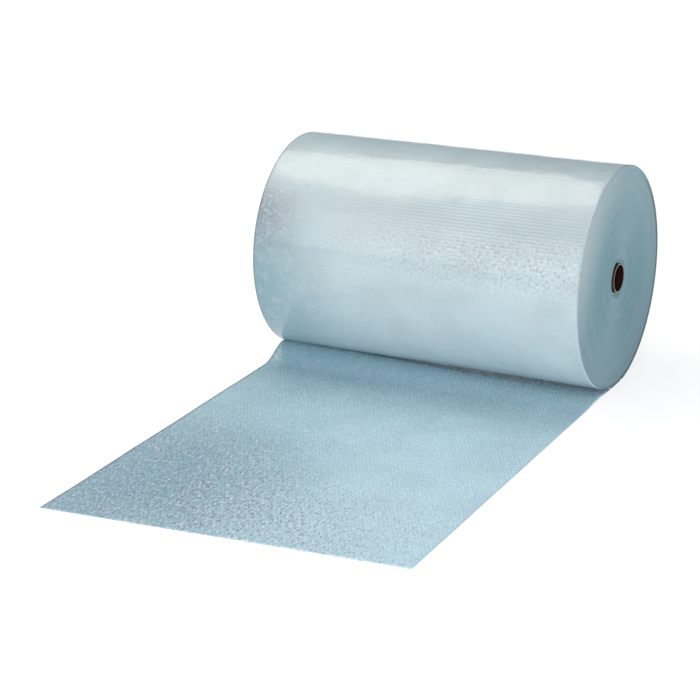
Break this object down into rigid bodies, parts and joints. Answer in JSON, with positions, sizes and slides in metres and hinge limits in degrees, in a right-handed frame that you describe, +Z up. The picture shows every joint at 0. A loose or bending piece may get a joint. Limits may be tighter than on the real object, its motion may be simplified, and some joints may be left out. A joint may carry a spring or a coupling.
{
  "type": "bubble wrap roll",
  "caption": "Roll of small-bubble cushioning film on a cardboard core, with its free end drawn out along the floor.",
  "frame": {"origin": "on the floor, in the middle of the rectangle that the roll and its free end cover", "axes": "+X along the core to the end that faces the viewer, +Y from the free end towards the roll, +Z up"},
  "size_m": [1, 1.74, 0.6358],
  "materials": {
    "film": "gloss",
    "core": "matte"
  },
  "bodies": {
    "root": {"bubble_film": "film", "core_tube": "core"}
  },
  "joints": []
}
